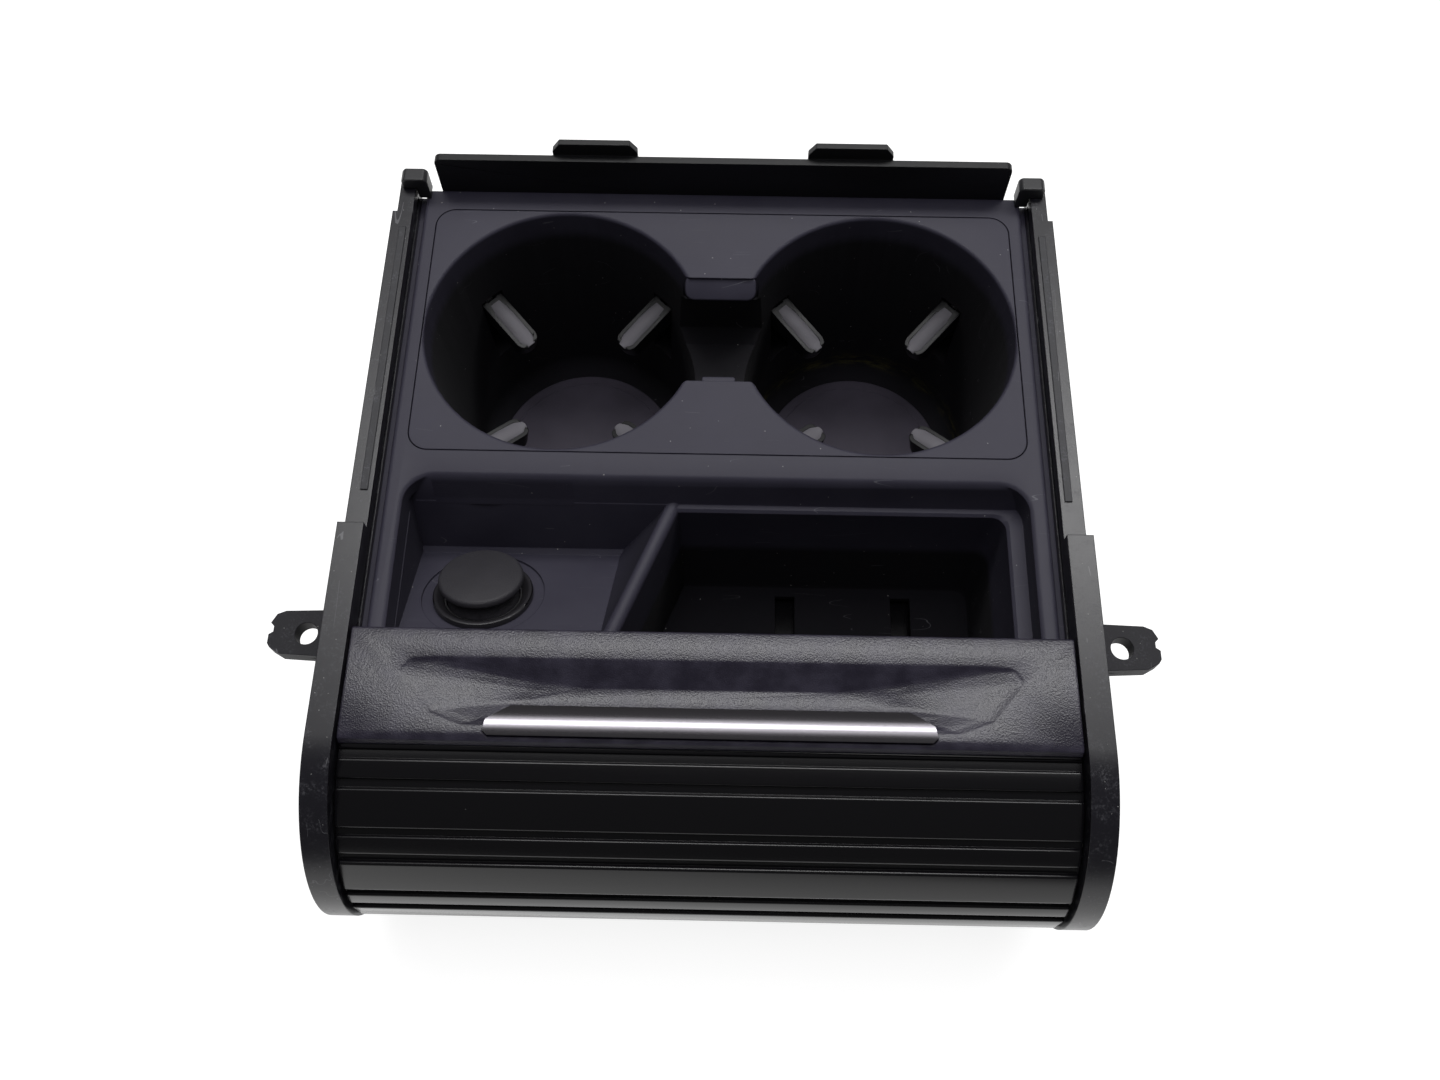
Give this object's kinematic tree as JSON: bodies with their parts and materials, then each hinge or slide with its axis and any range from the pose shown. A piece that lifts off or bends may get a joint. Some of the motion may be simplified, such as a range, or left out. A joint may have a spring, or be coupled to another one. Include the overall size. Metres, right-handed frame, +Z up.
{
  "type": "car cup holder",
  "caption": "Console insert with two cups, sprung grip fingers, a socket shelf, a phone pocket and a sliding shutter.",
  "frame": {"origin": "midway between the holes of the two side ears, on the ears' top face", "axes": "+X to the right, +Y from the rounded nose to the rear flange, +Z up out of the cups"},
  "size_m": [0.2476, 0.2152, 0.1014],
  "materials": {
    "soft_tray": "soft-touch dark grey with a slight violet cast",
    "soft_insert": "soft-touch dark grey, moulded",
    "mat_rubber": "smooth matt rubber",
    "finger_black": "satin black moulding",
    "pad_rubber": "fine grained rubber",
    "steel": "bright steel",
    "cheek_black": "semi-gloss black, scuffed along its edges",
    "strip_grey": "rough worn strip",
    "block_black": "matt black moulding",
    "flange_black": "plain black",
    "lead_grained": "fine leather-like grain",
    "satin_chrome": "satin chrome",
    "guide_nylon": "bare nylon",
    "curtain_gloss": "gloss black with fine grooves",
    "cover_black": "matt black moulding",
    "ring_grey": "satin dark grey",
    "brass": "plain brass",
    "cap_rubber": "fine grained soft-touch",
    "screw_steel": "blackened steel"
  },
  "bodies": {
    "frame": {"tray": "soft_tray", "cup_insert": "soft_insert", "cup_mat_left": "mat_rubber", "cup_mat_right": "mat_rubber", "finger_pins": "steel", "finger_springs": "steel", "cheek_left": "cheek_black", "cheek_right": "cheek_black", "rail_strip_left": "strip_grey", "rail_strip_right": "strip_grey", "end_block_left": "block_black", "end_block_right": "block_black", "rear_flange": "flange_black", "shutter_curtain": "curtain_gloss", "lower_cover": "cover_black", "socket_barrel": "steel", "socket_ring": "ring_grey", "socket_nut": "cover_black", "socket_terminal": "brass", "cheek_screws": "screw_steel", "cover_screws": "screw_steel"},
    "shutter": {"lead_panel": "lead_grained", "handle_bar": "satin_chrome", "lead_guides": "guide_nylon"},
    "cap": {"socket_cap": "cap_rubber"},
    "finger_1": {"grip_finger_1": "finger_black", "grip_pad_1": "pad_rubber"},
    "finger_2": {"grip_finger_2": "finger_black", "grip_pad_2": "pad_rubber"},
    "finger_3": {"grip_finger_3": "finger_black", "grip_pad_3": "pad_rubber"},
    "finger_4": {"grip_finger_4": "finger_black", "grip_pad_4": "pad_rubber"},
    "finger_5": {"grip_finger_5": "finger_black", "grip_pad_5": "pad_rubber"},
    "finger_6": {"grip_finger_6": "finger_black", "grip_pad_6": "pad_rubber"},
    "finger_7": {"grip_finger_7": "finger_black", "grip_pad_7": "pad_rubber"},
    "finger_8": {"grip_finger_8": "finger_black", "grip_pad_8": "pad_rubber"}
  },
  "joints": [
    {"name": "shutter_slide", "type": "slide", "parent": "frame", "child": "shutter", "axis": [0, 1, 0], "range_m": [0, 0.1398]},
    {"name": "cap_pull", "type": "slide", "parent": "frame", "child": "cap", "axis": [0, 0.4695, 0.8829], "range_m": [0, 0.016]},
    {"name": "finger_1_fold", "type": "hinge", "parent": "frame", "child": "finger_1", "pos_m": [-0.0164, 0.1187, -0.0112], "axis": [0.7071, -0.7071, 0], "range_deg": [0, 70], "stiffness_Nm_per_rad": 0.03, "springref_deg": -20.05},
    {"name": "finger_2_fold", "type": "hinge", "parent": "frame", "child": "finger_2", "pos_m": [-0.0758, 0.1187, -0.0112], "axis": [0.7071, 0.7071, 0], "range_deg": [0, 70], "stiffness_Nm_per_rad": 0.03, "springref_deg": -20.05},
    {"name": "finger_3_fold", "type": "hinge", "parent": "frame", "child": "finger_3", "pos_m": [-0.0758, 0.0593, -0.0112], "axis": [-0.7071, 0.7071, 0], "range_deg": [0, 70], "stiffness_Nm_per_rad": 0.03, "springref_deg": -20.05},
    {"name": "finger_4_fold", "type": "hinge", "parent": "frame", "child": "finger_4", "pos_m": [-0.0164, 0.0593, -0.0112], "axis": [-0.7071, -0.7071, 0], "range_deg": [0, 70], "stiffness_Nm_per_rad": 0.03, "springref_deg": -20.05},
    {"name": "finger_5_fold", "type": "hinge", "parent": "frame", "child": "finger_5", "pos_m": [0.0758, 0.1187, -0.0112], "axis": [0.7071, -0.7071, 0], "range_deg": [0, 70], "stiffness_Nm_per_rad": 0.03, "springref_deg": -20.05},
    {"name": "finger_6_fold", "type": "hinge", "parent": "frame", "child": "finger_6", "pos_m": [0.0164, 0.1187, -0.0112], "axis": [0.7071, 0.7071, 0], "range_deg": [0, 70], "stiffness_Nm_per_rad": 0.03, "springref_deg": -20.05},
    {"name": "finger_7_fold", "type": "hinge", "parent": "frame", "child": "finger_7", "pos_m": [0.0164, 0.0593, -0.0112], "axis": [-0.7071, 0.7071, 0], "range_deg": [0, 70], "stiffness_Nm_per_rad": 0.03, "springref_deg": -20.05},
    {"name": "finger_8_fold", "type": "hinge", "parent": "frame", "child": "finger_8", "pos_m": [0.0758, 0.0593, -0.0112], "axis": [-0.7071, -0.7071, 0], "range_deg": [0, 70], "stiffness_Nm_per_rad": 0.03, "springref_deg": -20.05}
  ]
}
